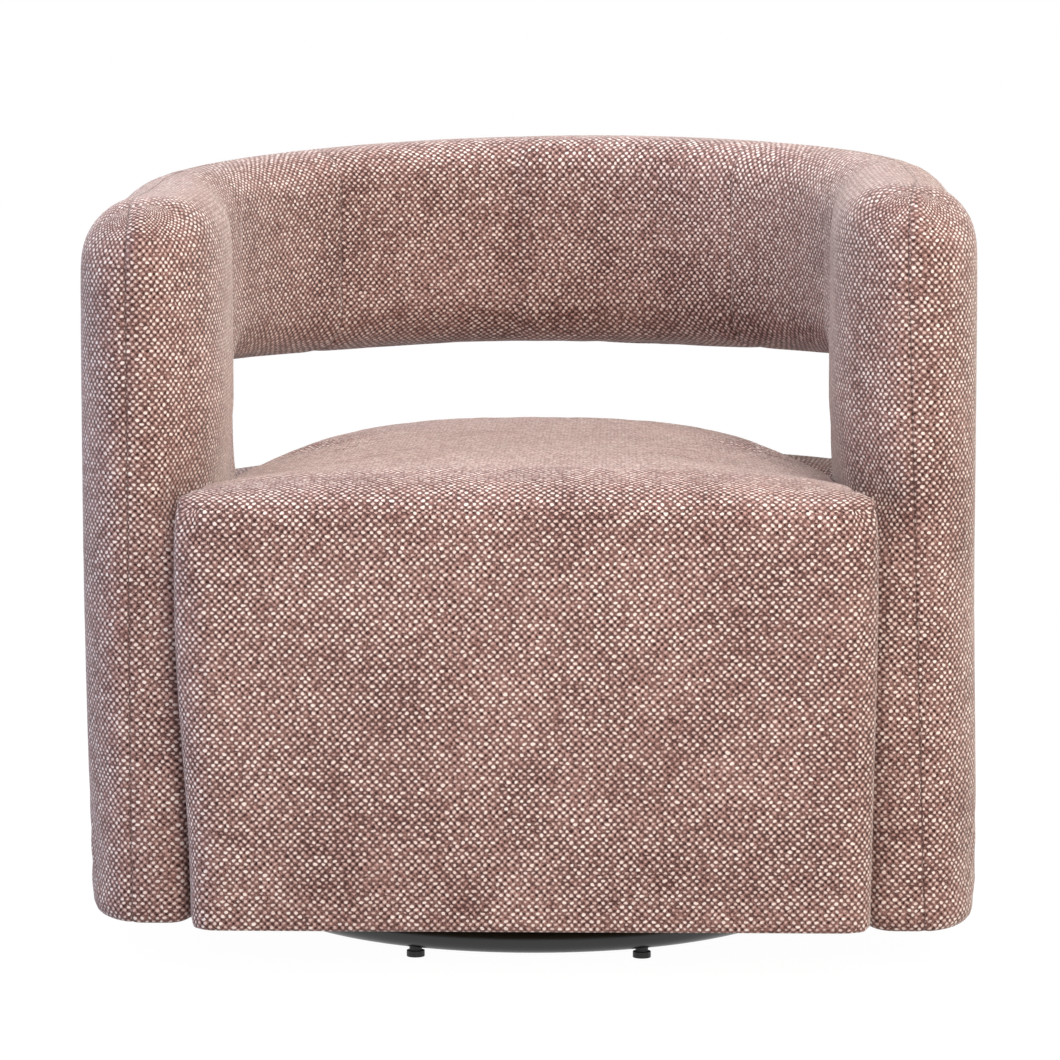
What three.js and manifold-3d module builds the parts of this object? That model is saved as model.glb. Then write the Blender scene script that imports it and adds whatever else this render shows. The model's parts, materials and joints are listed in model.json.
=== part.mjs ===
// Swivel rocker: an upholstered barrel chair on a round tubular base.
// Millimetres, +Z up. The origin is on the floor, on the swivel axis. The chair faces -Y.
// Three bodies: the base, the turntable that swivels on it, and the seat that rocks on four coil springs.

import * as THREE from 'three';
import { mergeVertices } from 'three/addons/utils/BufferGeometryUtils.js';
import Module from 'manifold-3d';

const wasm = await Module();
wasm.setup();

// Overall sizes
const overallWidth = 800;
const overallDepth = 760;
const backHeight = 760;
const armFrontHeight = 714;
const hemHeight = 57;
const seatGap = 0.3;
const cutOverrun = 5;

// Barrel shell: two straight arms and a half round back
const shellThickness = 100;
const armSetback = 40;
const railDepth = 210;
const lowerBackHeight = 430;
const windowSideAngle = 12;
const backSeamAngle = 48;
const shellStepAngle = 6;
const railTopRadius = 40;
const railBottomRadius = 28;
const hemRadius = 14;
const noseRadius = 44;
const windowCornerRadius = 26;
const outerRadius = overallWidth / 2;
const middleRadius = outerRadius - shellThickness / 2;
const innerRadius = outerRadius - shellThickness;
const barrelCentreY = overallDepth / 2 - outerRadius;
const armFrontY = -overallDepth / 2 + armSetback;
const straightLength = barrelCentreY - armFrontY;
const railBottomHeight = backHeight - railDepth;

// Seat block
const blockWidth = 624;
const blockHemWidth = 608;
const blockTopWidth = 608;
const hemTaperShare = 0.5;
const topCornerShare = 0.85;
const frontPadShares = [0, 0.12, 0.35, 0.6, 0.85, 0.93, 1];
const blockFrontRadius = 26;
const frontSeamHeight = 434;
const crownHeight = 44;
const crownSideShare = 2.6;
const crownFallShare = 0.9;
const crownFrontShare = 7;
const frontPadBelly = 5;
const padTuck = 1;
const crownShares = [1, 0.97, 0.92, 0.83, 0.66, 0.4];
const frontY = -overallDepth / 2;

// Timber frame
const boardThickness = 18;
const boardHemGap = 3;
const deckHeight = 320;
const sideBoardWidth = 149.7;
const wellClearance = 6;
const deckFrontDepth = 50;
const postSize = 40;
const coreThickness = 18;
const coreMargin = 40;
const railCoreThickness = 24;
const railCoreHeight = 110;

// Base
const ringRadius = 255;
const ringTube = 25;
const glideHeight = 8;
const glideRadius = 8.5;
const glideFlange = 5.5;
const glideStemRadius = 6;
const glideSeatDepth = 3;
const glidePairAngle = 24.6;
const spokeCount = 4;
const spokeHeight = 18;
const spokeWidth = 28;
const hubRadius = 34;
const hubWall = 6;
const hubPlateRadius = 70;
const hubPlateThickness = 4;
const raceRadius = 66;
const raceThickness = 2.5;
const raceRimHeight = 5;
const bearingHeight = 6;
const bearingInnerRadius = 40;
const bearingOuterRadius = 58;
const boltRadius = 8;
const boltHeadRadius = 13;
const boltHeadHeight = 8;
const nutHeight = 9;
const runningClearance = 0.5;

// Turntable and rocker springs
const plateMargin = 7;
const plateDepth = 200;
const plateThickness = 4;
const bracketSideRoom = 7;
const bracketWidth = 56;
const bracketLength = 256;
const bracketThickness = 4;
const cupHeight = 8;
const cupWall = 3;
const springHeight = 62;
const springRadius = 18;
const springWire = 6.5;
const springTurns = 6;
const springY = 62;
const stopRadius = 11;
const stopHeight = 15;
const stopInset = 14;
const rockAngle = 4;
const stopFreeTravel = 1.5;

// Upper mechanism and mount rails
const mountRailWidth = 60;
const mountRailHeight = 22;
const mountRailFoot = 20;
const coverThickness = 1;

// Seat springs
const seatSpringCount = 4;
const seatSpringSideRoom = 152.7;
const seatSpringWire = 3.8;
const seatSpringWidth = 46;
const seatSpringPitch = 44;
const seatSpringBulge = 5.5;

// Heights worked out from the floor up
const ringHeight = glideHeight + ringTube / 2;
const spokeTop = ringHeight + spokeHeight / 2;
const hubPlateTop = spokeTop + seatGap + hubPlateThickness;
const lowerRaceBottom = hubPlateTop + seatGap;
const bearingBottom = lowerRaceBottom + raceThickness + seatGap;
const bearingTop = bearingBottom + bearingHeight;
const upperRaceBottom = bearingTop + seatGap;
const plateBottom = upperRaceBottom + raceThickness + seatGap;
const plateTop = plateBottom + plateThickness;
const lowerBracketBottom = plateTop + seatGap;
const lowerBracketTop = lowerBracketBottom + bracketThickness;
const springBottom = lowerBracketTop + seatGap;
const springTop = springBottom + springHeight;
const upperBracketBottom = springTop + seatGap;
const upperBracketTop = upperBracketBottom + bracketThickness;
const coverBottom = upperBracketTop + seatGap;
const mountRailBottom = coverBottom + coverThickness + seatGap;
const mountRailTop = mountRailBottom + mountRailHeight;
const boardBottom = hemHeight + boardHemGap;
const boardTop = boardBottom + boardThickness;
const deckBottom = deckHeight - boardThickness;
const seatSpringHeight = deckHeight + seatGap + seatSpringWire / 2;
const padBottom = seatSpringHeight + seatSpringWire / 2 + seatGap;
const frameRadius = innerRadius - seatGap;
const panelFrontY = armFrontY - seatGap;
const panelRearY = panelFrontY + boardThickness;
const frameFrontY = panelRearY + seatGap;
const wellHalfWidth = frameRadius - sideBoardWidth;
const bracketX = wellHalfWidth - bracketSideRoom - bracketWidth / 2;
const bracketEnd = bracketLength / 2;
const wellRearY = bracketEnd + mountRailHeight + wellClearance;
const plateWidth = 2 * bracketX + bracketWidth + 2 * plateMargin;
const seatSpringSpacing = 2 * (frameRadius - seatSpringSideRoom) / (seatSpringCount - 1);

// Facet counts
const cornerSteps = 2;
const topSteps = 3;
const stepsPerWave = 6;
const ringSides = 10;
const copeSides = 16;
const ringSteps = 48;
const roundSides = 36;

// Finishes
const fabric = { color: 0xa3817a, roughness: 0.95, metalness: 0 };
const plywood = { color: 0xc9a26d, roughness: 0.7, metalness: 0 };
const timber = { color: 0xb98d5a, roughness: 0.75, metalness: 0 };
const blackSteel = { color: 0x0c0c0b, roughness: 0.35, metalness: 0.3 };
const zincSteel = { color: 0x9a9ca0, roughness: 0.4, metalness: 0.9 };
const springSteel = { color: 0x3c3d40, roughness: 0.4, metalness: 0.9 };
const acetal = { color: 0xe8e6df, roughness: 0.5, metalness: 0 };
const rubber = { color: 0x1a1a1a, roughness: 0.8, metalness: 0 };
const blackPlastic = { color: 0x111111, roughness: 0.5, metalness: 0 };
const cambric = { color: 0x161616, roughness: 0.95, metalness: 0 };

const chair = new THREE.Group();
const radians = THREE.MathUtils.degToRad;

function addPiece(name, geometry, finish) {
  const mesh = new THREE.Mesh(geometry, new THREE.MeshStandardMaterial(finish));
  mesh.name = name;
  chair.add(mesh);
  return mesh;
}

// Solids

function toSolid(geometry) {
  const bare = geometry.clone();
  bare.deleteAttribute('normal');
  bare.deleteAttribute('uv');
  const merged = mergeVertices(bare);
  return new wasm.Manifold(new wasm.Mesh({
    numProp: 3,
    vertProperties: new Float32Array(merged.attributes.position.array),
    triVerts: new Uint32Array(merged.index.array),
  }));
}

function toGeometry(solid) {
  const mesh = solid.getMesh();
  const geometry = new THREE.BufferGeometry();
  geometry.setAttribute('position', new THREE.BufferAttribute(new Float32Array(mesh.vertProperties), 3));
  geometry.setIndex(new THREE.BufferAttribute(new Uint32Array(mesh.triVerts), 1));
  return geometry;
}

function cut(geometry, ...tools) {
  let solid = toSolid(geometry);
  for (const tool of tools) {
    solid = solid.subtract(toSolid(tool));
  }
  return toGeometry(solid);
}

function join(geometry, ...others) {
  let solid = toSolid(geometry);
  for (const other of others) {
    solid = solid.add(toSolid(other));
  }
  return toGeometry(solid);
}

// A closed skin over rings with the same number of points, capped at both ends
function loft(rings) {
  const count = rings[0].length;
  const positions = [];
  const triangles = [];
  for (const ring of rings) {
    for (const point of ring) {
      positions.push(point.x, point.y, point.z);
    }
  }
  for (let r = 0; r + 1 < rings.length; r += 1) {
    for (let i = 0; i < count; i += 1) {
      const j = (i + 1) % count;
      const a = r * count + i;
      const b = r * count + j;
      triangles.push(a, b, a + count, b, b + count, a + count);
    }
  }
  const ends = [[0, true], [rings.length - 1, false]];
  for (const [r, first] of ends) {
    const centre = new THREE.Vector3();
    rings[r].forEach((point) => centre.addScaledVector(point, 1 / count));
    const hub = positions.length / 3;
    positions.push(centre.x, centre.y, centre.z);
    for (let i = 0; i < count; i += 1) {
      const a = r * count + i;
      const b = r * count + (i + 1) % count;
      triangles.push(...(first ? [hub, b, a] : [hub, a, b]));
    }
  }
  const geometry = new THREE.BufferGeometry();
  geometry.setAttribute('position', new THREE.Float32BufferAttribute(positions, 3));
  geometry.setIndex(triangles);
  return geometry;
}

function block(x0, x1, y0, y1, z0, z1) {
  const geometry = new THREE.BoxGeometry(x1 - x0, y1 - y0, z1 - z0);
  geometry.translate((x0 + x1) / 2, (y0 + y1) / 2, (z0 + z1) / 2);
  return geometry;
}

function upright(radius, bottom, top, x = 0, y = 0, sides = 24) {
  const geometry = new THREE.CylinderGeometry(radius, radius, top - bottom, sides);
  geometry.rotateX(Math.PI / 2);
  geometry.translate(x, y, (bottom + top) / 2);
  return geometry;
}

function turned(points, sides = roundSides) {
  const geometry = new THREE.LatheGeometry(points.map(([r, z]) => new THREE.Vector2(r, z)), sides);
  geometry.rotateX(Math.PI / 2);
  return geometry;
}

// A plate of a plan outline between two heights
function plate(shape, bottom, top, curveSegments = 1) {
  const settings = { depth: top - bottom, bevelEnabled: false, curveSegments };
  const geometry = new THREE.ExtrudeGeometry(shape, settings);
  geometry.translate(0, 0, bottom);
  return geometry;
}

function tubeAlong(points, radius, sides, steps) {
  const section = new THREE.Shape();
  for (let i = 0; i < sides; i += 1) {
    const turn = (i / sides) * Math.PI * 2;
    const x = radius * Math.cos(turn);
    const y = radius * Math.sin(turn);
    if (i === 0) {
      section.moveTo(x, y);
    } else {
      section.lineTo(x, y);
    }
  }
  section.closePath();
  const route = new THREE.CatmullRomCurve3(points);
  return new THREE.ExtrudeGeometry(section, { steps, extrudePath: route, bevelEnabled: false });
}

// The barrel shell: a place along it is a distance back along the straight arm, then an angle round the back

function shellPlace(side, along, offset) {
  const radius = middleRadius + offset;
  if (along <= straightLength) {
    return [side * radius, armFrontY + along];
  }
  const angle = (along - straightLength) / middleRadius;
  return [side * radius * Math.cos(angle), barrelCentreY + radius * Math.sin(angle)];
}

function alongAtAngle(degrees) {
  return straightLength + radians(degrees) * middleRadius;
}

const backMiddle = alongAtAngle(90);
const windowSide = alongAtAngle(windowSideAngle);
const backSeam = alongAtAngle(backSeamAngle);

function shellTop(along) {
  const share = Math.min(1, along / backMiddle);
  return armFrontHeight + (backHeight - armFrontHeight) * share * share * (3 - 2 * share);
}

// Rings run clockwise seen from the start of a loft
function facing(side, ring) {
  return side > 0 ? ring.reverse() : ring;
}

// One padded section: a rounded upright rectangle across the shell
function shellSection(side, along, bottom, top, inset, bottomRadius) {
  const half = shellThickness / 2 - inset;
  const corners = [
    [1, bottom, -1, Math.min(bottomRadius, half), cornerSteps],
    [1, top - inset, 1, Math.min(railTopRadius, half), topSteps],
    [-1, top - inset, 1, Math.min(railTopRadius, half), topSteps],
    [-1, bottom, -1, Math.min(bottomRadius, half), cornerSteps],
  ];
  const ring = [];
  corners.forEach(([across, height, up, radius, steps], number) => {
    for (let i = 0; i <= steps; i += 1) {
      const share = number % 2 === 0 ? i / steps : 1 - i / steps;
      const turn = share * Math.PI / 2;
      const offset = across * (half - radius + radius * Math.sin(turn));
      const z = height - up * (radius - radius * Math.cos(turn));
      const [x, y] = shellPlace(side, along, offset);
      ring.push(new THREE.Vector3(x, y, z));
    }
  });
  return facing(side, ring);
}

// Rounded front of an arm, as insets against distances from its face
function noseStations(radius, steps) {
  const stations = [];
  for (let i = 0; i <= steps; i += 1) {
    const turn = (i / steps) * Math.PI / 2;
    stations.push([radius - radius * Math.cos(turn), radius - radius * Math.sin(turn)]);
  }
  return stations;
}

// Distances along the shell at its facets, between two angles round the back
function shellStations(from, to) {
  const stations = [];
  for (let angle = from; angle <= to; angle += shellStepAngle) {
    stations.push(alongAtAngle(angle));
  }
  return stations;
}

// A bent board that stands inside the shell, between two places along it
function shellCore(side, stations, thickness, bottom, topAt) {
  return loft(stations.map((along) => coreSection(side, along, thickness, bottom, topAt(along))));
}

function coreSection(side, along, thickness, bottom, top) {
  const ring = [
    [thickness / 2, bottom],
    [thickness / 2, top],
    [-thickness / 2, top],
    [-thickness / 2, bottom],
  ].map(([offset, z]) => {
    const [x, y] = shellPlace(side, along, offset);
    return new THREE.Vector3(x, y, z);
  });
  return facing(side, ring);
}

// The window's upper corner is round where the rail leaves the arm
function railUnderside(along) {
  const distance = along - windowSide;
  if (distance >= windowCornerRadius) {
    return railBottomHeight;
  }
  const reach = windowCornerRadius - Math.max(0, distance);
  const rise = Math.sqrt(windowCornerRadius ** 2 - reach ** 2);
  return railBottomHeight - windowCornerRadius + rise;
}

const railCoreBottom = railBottomHeight + (railDepth - railCoreHeight) / 2;
const railCoreTop = railCoreBottom + railCoreHeight;
const coreBottom = boardBottom;
const armCoreFront = noseRadius;
const coreCut = 2 * seatGap;

function armCoreTop(along) {
  return shellTop(along) - coreMargin;
}

function armSlotTop(along) {
  return armCoreTop(along) + seatGap;
}

const lowerCoreTop = lowerBackHeight - coreMargin;
const belowHem = hemHeight - cutOverrun;

function armPad(side) {
  const windowEdge = noseStations(railBottomRadius, topSteps).reverse();
  const panelPlaces = [
    ...noseStations(noseRadius, topSteps),
    [straightLength / 2, 0],
    [straightLength, 0],
    [alongAtAngle(shellStepAngle), 0],
    ...windowEdge.map(([distance, inset]) => [windowSide - distance, inset]),
  ];
  const panel = loft(panelPlaces.map(([along, inset]) => (
    shellSection(side, along, hemHeight, shellTop(along), inset, hemRadius)
  )));
  const heel = loft([straightLength, alongAtAngle(shellStepAngle), windowSide - seatGap]
    .map((along) => lowSection(side, along)));
  const railPlaces = [straightLength, alongAtAngle(shellStepAngle), windowSide];
  for (let i = 1; i <= topSteps; i += 1) {
    const turn = (i / topSteps) * Math.PI / 2;
    railPlaces.push(windowSide + windowCornerRadius * (1 - Math.cos(turn)));
  }
  railPlaces.push(...shellStations(windowSideAngle + shellStepAngle, backSeamAngle - shellStepAngle));
  railPlaces.push(backSeam - seatGap / 2);
  const rail = loft(railPlaces.map((along) => (
    shellSection(side, along, railUnderside(along), shellTop(along), 0, railBottomRadius)
  )));
  const slotPlaces = [armCoreFront - seatGap, straightLength, straightLength + cutOverrun];
  const slot = shellCore(side, slotPlaces, coreThickness + coreCut, belowHem, armSlotTop);
  return cut(join(panel, heel, rail), slot, railCoreRoom, lowerCoreRoom);
}

// The low part of the shell, with its rim at the bottom of the window
function lowSection(side, along) {
  return shellSection(side, along, hemHeight, lowerBackHeight, 0, hemRadius);
}

// A loft round the whole back, from one side to the other, given its first stations
function aroundBack(stations, sectionAt) {
  const rings = stations.map((along) => sectionAt(1, along));
  const mirrored = stations.slice(0, -1).reverse().map((along) => (
    sectionAt(1, along).map((point) => new THREE.Vector3(-point.x, point.y, point.z))
  ));
  return loft([...rings, ...mirrored]);
}

function coreAround(thickness, bottom, top) {
  return aroundBack(shellStations(0, 90), (side, along) => coreSection(side, along, thickness, bottom, top));
}

function backRailPad() {
  const stations = [
    backSeam + seatGap / 2,
    ...shellStations(backSeamAngle + shellStepAngle, 90),
  ];
  const pad = aroundBack(stations, (side, along) => (
    shellSection(side, along, railBottomHeight, shellTop(along), 0, railBottomRadius)
  ));
  return cut(pad, railCoreRoom);
}

function lowerBackPad() {
  return cut(aroundBack(shellStations(windowSideAngle, 90), lowSection), lowerCoreRoom);
}

// Room for the bent cores in the padding; the lower one is open at the hem
const railCoreRoom = coreAround(railCoreThickness + coreCut, railCoreBottom - seatGap, railCoreTop + seatGap);
const lowerCoreRoom = coreAround(coreThickness + coreCut, belowHem, lowerCoreTop + seatGap);

for (const [word, side] of [['left', -1], ['right', 1]]) {
  addPiece(`arm_pad_${word}`, armPad(side), fabric);
  const places = [armCoreFront, straightLength - seatGap];
  const core = shellCore(side, places, coreThickness, coreBottom, armCoreTop);
  addPiece(`arm_core_${word}`, core, plywood);
}
addPiece('back_rail_pad', backRailPad(), fabric);
addPiece('lower_back_pad', lowerBackPad(), fabric);
addPiece('rail_core', coreAround(railCoreThickness, railCoreBottom, railCoreTop), timber);
addPiece('lower_back_core', coreAround(coreThickness, coreBottom, lowerCoreTop), plywood);

// Seat block

// Plan points inside the back of the shell, between two angles
function innerArc(radius, from, to) {
  const points = [];
  for (let angle = from; angle <= to; angle += shellStepAngle) {
    points.push([radius * Math.cos(radians(angle)), barrelCentreY + radius * Math.sin(radians(angle))]);
  }
  return points;
}

// Plan of a seat solid: round front corners, any step where it narrows between the arms, and the round back
function seatPlan(front, steps, radius) {
  const frontHalfWidth = steps.length ? steps[0][0] : radius;
  const points = [];
  for (let i = 0; i <= cornerSteps; i += 1) {
    const turn = (i / cornerSteps) * Math.PI / 2;
    const x = frontHalfWidth - blockFrontRadius + blockFrontRadius * Math.sin(turn);
    points.push([x, front + blockFrontRadius - blockFrontRadius * Math.cos(turn)]);
  }
  points.push(...steps, [radius, (armFrontY + barrelCentreY) / 2]);
  points.push(...innerArc(radius, 0, 90 - shellStepAngle));
  const mirrored = points.map(([x, y]) => [-x, y]).reverse();
  return [...points, [0, barrelCentreY + radius], ...mirrored];
}

const seatMiddleY = (frontY + barrelCentreY + innerRadius) / 2;
const seatHalfDepth = barrelCentreY + innerRadius - seatMiddleY;

function seatCrown(x, y) {
  const across = Math.min(1, Math.abs(x) / innerRadius);
  const lengthways = Math.min(1, Math.abs(y - seatMiddleY) / seatHalfDepth);
  const side = (1 - across ** crownSideShare) ** crownFallShare;
  const front = Math.sqrt(1 - lengthways ** crownFrontShare);
  return frontSeamHeight + seatGap + crownHeight * side * front;
}

function seatPad() {
  const inside = frameRadius - padTuck;
  const lower = seatPlan(frameFrontY, [], inside);
  const backOfFront = panelFrontY - seatGap;
  const steps = [[blockTopWidth / 2, backOfFront], [frameRadius, backOfFront]];
  const upper = seatPlan(frontY, steps, frameRadius);
  const ring = (plan, share, heightAt) => plan.map(([x, y]) => {
    const py = seatMiddleY + (y - seatMiddleY) * share;
    return new THREE.Vector3(x * share, py, heightAt(x * share, py));
  });
  const lip = frontSeamHeight + seatGap;
  const foam = loft([ring(lower, 1, () => padBottom), ring(lower, 1, () => lip + padTuck)]);
  const crown = crownShares.map((share) => ring(upper, share, (x, y) => seatCrown(x, y) + padTuck));
  return join(foam, loft([ring(upper, 1, () => lip), ...crown]));
}

// Half width of the front pad at a share of its height: narrower at the hem and at its round top corners
function frontPadHalf(share) {
  const taper = Math.min(1, share / hemTaperShare);
  const corner = Math.max(0, (share - topCornerShare) / (1 - topCornerShare));
  const widest = blockHemWidth + (blockWidth - blockHemWidth) * taper;
  return (widest - (blockWidth - blockTopWidth) * corner * corner) / 2;
}

function frontPad() {
  return loft(frontPadShares.map((share) => {
    const z = hemHeight + (frontSeamHeight - hemHeight) * share;
    const fill = Math.sqrt(Math.max(0, Math.sin(Math.PI * share)));
    const half = frontPadHalf(share);
    const face = frontY + frontPadBelly * (1 - fill);
    const ring = [];
    for (let i = 0; i <= cornerSteps; i += 1) {
      const turn = (i / cornerSteps) * Math.PI / 2;
      const x = half - blockFrontRadius + blockFrontRadius * Math.sin(turn);
      ring.push(new THREE.Vector3(x, face + blockFrontRadius * (1 - Math.cos(turn)), z));
    }
    ring.push(new THREE.Vector3(half, panelFrontY - seatGap, z));
    const mirrored = ring.map((point) => new THREE.Vector3(-point.x, point.y, point.z)).reverse();
    return [...ring, ...mirrored];
  }));
}

addPiece('seat_pad', seatPad(), fabric);
addPiece('front_pad', frontPad(), fabric);

// Timber frame under the seat

addPiece('front_panel', block(
  -frameRadius, frameRadius, panelFrontY, panelRearY, boardBottom, frontSeamHeight,
), plywood);

function outline(points) {
  return new THREE.Shape(points.map(([x, y]) => new THREE.Vector2(x, y)));
}

// Point on the frame's facetted outline at a place from front to back
function frameCorner(y) {
  if (y <= barrelCentreY) {
    return [frameRadius, y];
  }
  const arc = innerArc(frameRadius, 0, 90);
  const next = arc.findIndex((point) => point[1] > y);
  const [x0, y0] = arc[next - 1];
  const [x1, y1] = arc[next];
  return [x0 + (x1 - x0) * (y - y0) / (y1 - y0), y];
}

function sideBoardShape(side) {
  const clear = wellHalfWidth + seatGap;
  const front = frameFrontY + deckFrontDepth + seatGap;
  const rear = wellRearY - seatGap;
  const arc = innerArc(frameRadius, 0, 90).filter(([, y]) => y < rear);
  const points = [[clear, front], [frameRadius, front], ...arc, frameCorner(rear), [clear, rear]];
  return outline(points.map(([x, y]) => [side * x, y]));
}

function rearBoardShape(front) {
  const arc = [frameCorner(front), ...innerArc(frameRadius, 0, 90).filter(([, y]) => y > front)];
  const mirrored = arc.slice(0, -1).reverse().map(([x, y]) => [-x, y]);
  return outline([...arc, ...mirrored]);
}

// The outer corners of the rear posts touch the shell's flats, and the rear deck board starts at their faces
const flatRadius = frameRadius * Math.cos(radians(shellStepAngle / 2));
const rearPostX = wellHalfWidth + seatGap + postSize / 2;
const rearPostReach = Math.sqrt(flatRadius ** 2 - (rearPostX + postSize / 2) ** 2);
const rearPostY = barrelCentreY + rearPostReach - postSize / 2 - seatGap;
const deckRearY = rearPostY - postSize / 2;

addPiece('base_board_front', block(
  -frameRadius, frameRadius, frameFrontY, frameFrontY + deckFrontDepth, boardBottom, boardTop,
), plywood);
for (const [word, side] of [['left', -1], ['right', 1]]) {
  addPiece(`base_board_${word}`, plate(sideBoardShape(side), boardBottom, boardTop), plywood);
}
addPiece('base_board_rear', plate(rearBoardShape(wellRearY), boardBottom, boardTop), plywood);
addPiece('deck_board_front', block(
  -frameRadius, frameRadius, frameFrontY, frameFrontY + deckFrontDepth, deckBottom, deckHeight,
), plywood);
addPiece('deck_board_rear', plate(rearBoardShape(deckRearY), deckBottom, deckHeight), plywood);

const frontPostX = frameRadius - postSize / 2;
const frontPostY = frameFrontY + postSize / 2;
for (const [word, side] of [['left', -1], ['right', 1]]) {
  for (const [place, x, y] of [['front', frontPostX, frontPostY], ['rear', rearPostX, rearPostY]]) {
    const half = postSize / 2;
    addPiece(`post_${place}_${word}`, block(
      side * x - half, side * x + half, y - half, y + half, boardTop + seatGap, deckBottom - seatGap,
    ), timber);
  }
}

// Sinuous seat springs, from the front deck board to the rear one
const seatSpringFront = frameFrontY + deckFrontDepth / 2;
const seatSpringRear = deckRearY + deckFrontDepth / 2;
const seatSpringLength = seatSpringRear - seatSpringFront;
const seatSpringSteps = Math.round(seatSpringLength / seatSpringPitch) * stepsPerWave;

function seatSpringPoint(x0, step) {
  const phase = (step / stepsPerWave) * Math.PI * 2;
  const bulge = seatSpringBulge * Math.sin(2 * phase);
  const x = x0 + (seatSpringWidth / 2) * Math.sin(phase);
  const y = seatSpringFront + seatSpringLength * step / seatSpringSteps + bulge;
  return new THREE.Vector3(x, y, seatSpringHeight);
}

for (let n = 0; n < seatSpringCount; n += 1) {
  const x0 = (n - (seatSpringCount - 1) / 2) * seatSpringSpacing;
  const points = [];
  for (let step = 0; step <= seatSpringSteps; step += 1) {
    points.push(seatSpringPoint(x0, step));
  }
  addPiece(`seat_spring_${n + 1}`, tubeAlong(points, seatSpringWire / 2, 5, seatSpringSteps), springSteel);
}

// Base: ring, spokes, hub, bearing and glides

function ringAround(radius, tube, height, sides, steps) {
  const profile = [];
  for (let i = 0; i <= sides; i += 1) {
    const turn = (i / sides) * Math.PI * 2;
    profile.push([radius + tube * Math.cos(turn), height + tube * Math.sin(turn)]);
  }
  return turned(profile, steps);
}

function wedgeBlock(length, width, bottom, top, angle) {
  const geometry = block(0, length, -width / 2, width / 2, bottom, top);
  geometry.rotateZ(angle);
  return geometry;
}

const boltHoleRadius = boltRadius + runningClearance;
const glideAngles = [];
for (let quarter = 0; quarter < spokeCount; quarter += 1) {
  for (const sign of [-1, 1]) {
    glideAngles.push(radians(quarter * 360 / spokeCount - 90 + sign * glidePairAngle));
  }
}
const glidePlaces = glideAngles.map((angle) => [ringRadius * Math.cos(angle), ringRadius * Math.sin(angle)]);
const stemTop = glideHeight + glideSeatDepth;

function glideHole([x, y]) {
  return upright(glideStemRadius + seatGap, glideHeight - cutOverrun, stemTop + seatGap, x, y, 12);
}

const ringBody = ringAround(ringRadius, ringTube / 2, ringHeight, ringSides, ringSteps);
addPiece('base_ring', cut(ringBody, ...glidePlaces.map(glideHole)), blackSteel);

const spokeBottom = spokeTop - spokeHeight;
const ringCope = ringAround(ringRadius, ringTube / 2 + seatGap, ringHeight, copeSides, ringSteps);
const hubCope = upright(
  hubRadius + seatGap, spokeBottom - cutOverrun, spokeTop + cutOverrun, 0, 0, roundSides,
);
for (let n = 0; n < spokeCount; n += 1) {
  const angle = radians(n * 360 / spokeCount + 45);
  const bar = wedgeBlock(ringRadius, spokeWidth, spokeBottom, spokeTop, angle);
  addPiece(`spoke_${n + 1}`, cut(bar, ringCope, hubCope), blackSteel);
}

addPiece('hub', turned([
  [hubRadius - hubWall, spokeBottom],
  [hubRadius, spokeBottom],
  [hubRadius, spokeTop + seatGap],
  [hubPlateRadius, spokeTop + seatGap],
  [hubPlateRadius, hubPlateTop],
  [boltHoleRadius, hubPlateTop],
  [boltHoleRadius, spokeTop + seatGap],
  [hubRadius - hubWall, spokeTop + seatGap],
  [hubRadius - hubWall, spokeBottom],
], roundSides), blackSteel);

addPiece('lower_race', turned([
  [boltHoleRadius, lowerRaceBottom],
  [raceRadius, lowerRaceBottom],
  [raceRadius, lowerRaceBottom + raceRimHeight],
  [raceRadius - raceThickness, lowerRaceBottom + raceRimHeight],
  [raceRadius - raceThickness, lowerRaceBottom + raceThickness],
  [boltHoleRadius, lowerRaceBottom + raceThickness],
  [boltHoleRadius, lowerRaceBottom],
], roundSides), zincSteel);

addPiece('bearing_ring', turned([
  [bearingInnerRadius, bearingBottom],
  [bearingOuterRadius, bearingBottom],
  [bearingOuterRadius, bearingTop],
  [bearingInnerRadius, bearingTop],
  [bearingInnerRadius, bearingBottom],
], roundSides), acetal);

addPiece('upper_race', turned([
  [boltHoleRadius, upperRaceBottom],
  [raceRadius, upperRaceBottom],
  [raceRadius, upperRaceBottom + raceThickness],
  [boltHoleRadius, upperRaceBottom + raceThickness],
  [boltHoleRadius, upperRaceBottom],
], roundSides), zincSteel);

const boltHeadTop = spokeTop;
const boltTop = plateTop + seatGap + nutHeight + 2 * seatGap;
addPiece('king_bolt', join(
  upright(boltRadius, boltHeadTop - boltHeadHeight / 2, boltTop, 0, 0, 24),
  upright(boltHeadRadius, boltHeadTop - boltHeadHeight, boltHeadTop, 0, 0, 6),
), zincSteel);
const nutBottom = plateTop + seatGap;
addPiece('king_nut', cut(
  upright(boltHeadRadius, nutBottom, nutBottom + nutHeight, 0, 0, 6),
  upright(boltRadius + seatGap, nutBottom - cutOverrun, nutBottom + nutHeight + cutOverrun, 0, 0, 24),
), zincSteel);

glidePlaces.forEach(([x, y], number) => {
  const pad = turned([
    [0, 0],
    [glideRadius, 0],
    [glideRadius, glideFlange],
    [glideStemRadius, glideFlange],
    [glideStemRadius, stemTop],
    [0, stemTop],
  ], 16);
  pad.translate(x, y, 0);
  addPiece(`glide_${number + 1}`, pad, blackPlastic);
});

// Turntable

const plateShape = new THREE.Shape();
plateShape.moveTo(-plateWidth / 2, -plateDepth / 2);
plateShape.lineTo(plateWidth / 2, -plateDepth / 2);
plateShape.lineTo(plateWidth / 2, plateDepth / 2);
plateShape.lineTo(-plateWidth / 2, plateDepth / 2);
plateShape.closePath();
const plateHole = new THREE.Path();
plateHole.absarc(0, 0, boltHoleRadius, 0, Math.PI * 2, true);
plateShape.holes.push(plateHole);
addPiece('swivel_plate', plate(plateShape, plateBottom, plateTop, 12), zincSteel);

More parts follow.
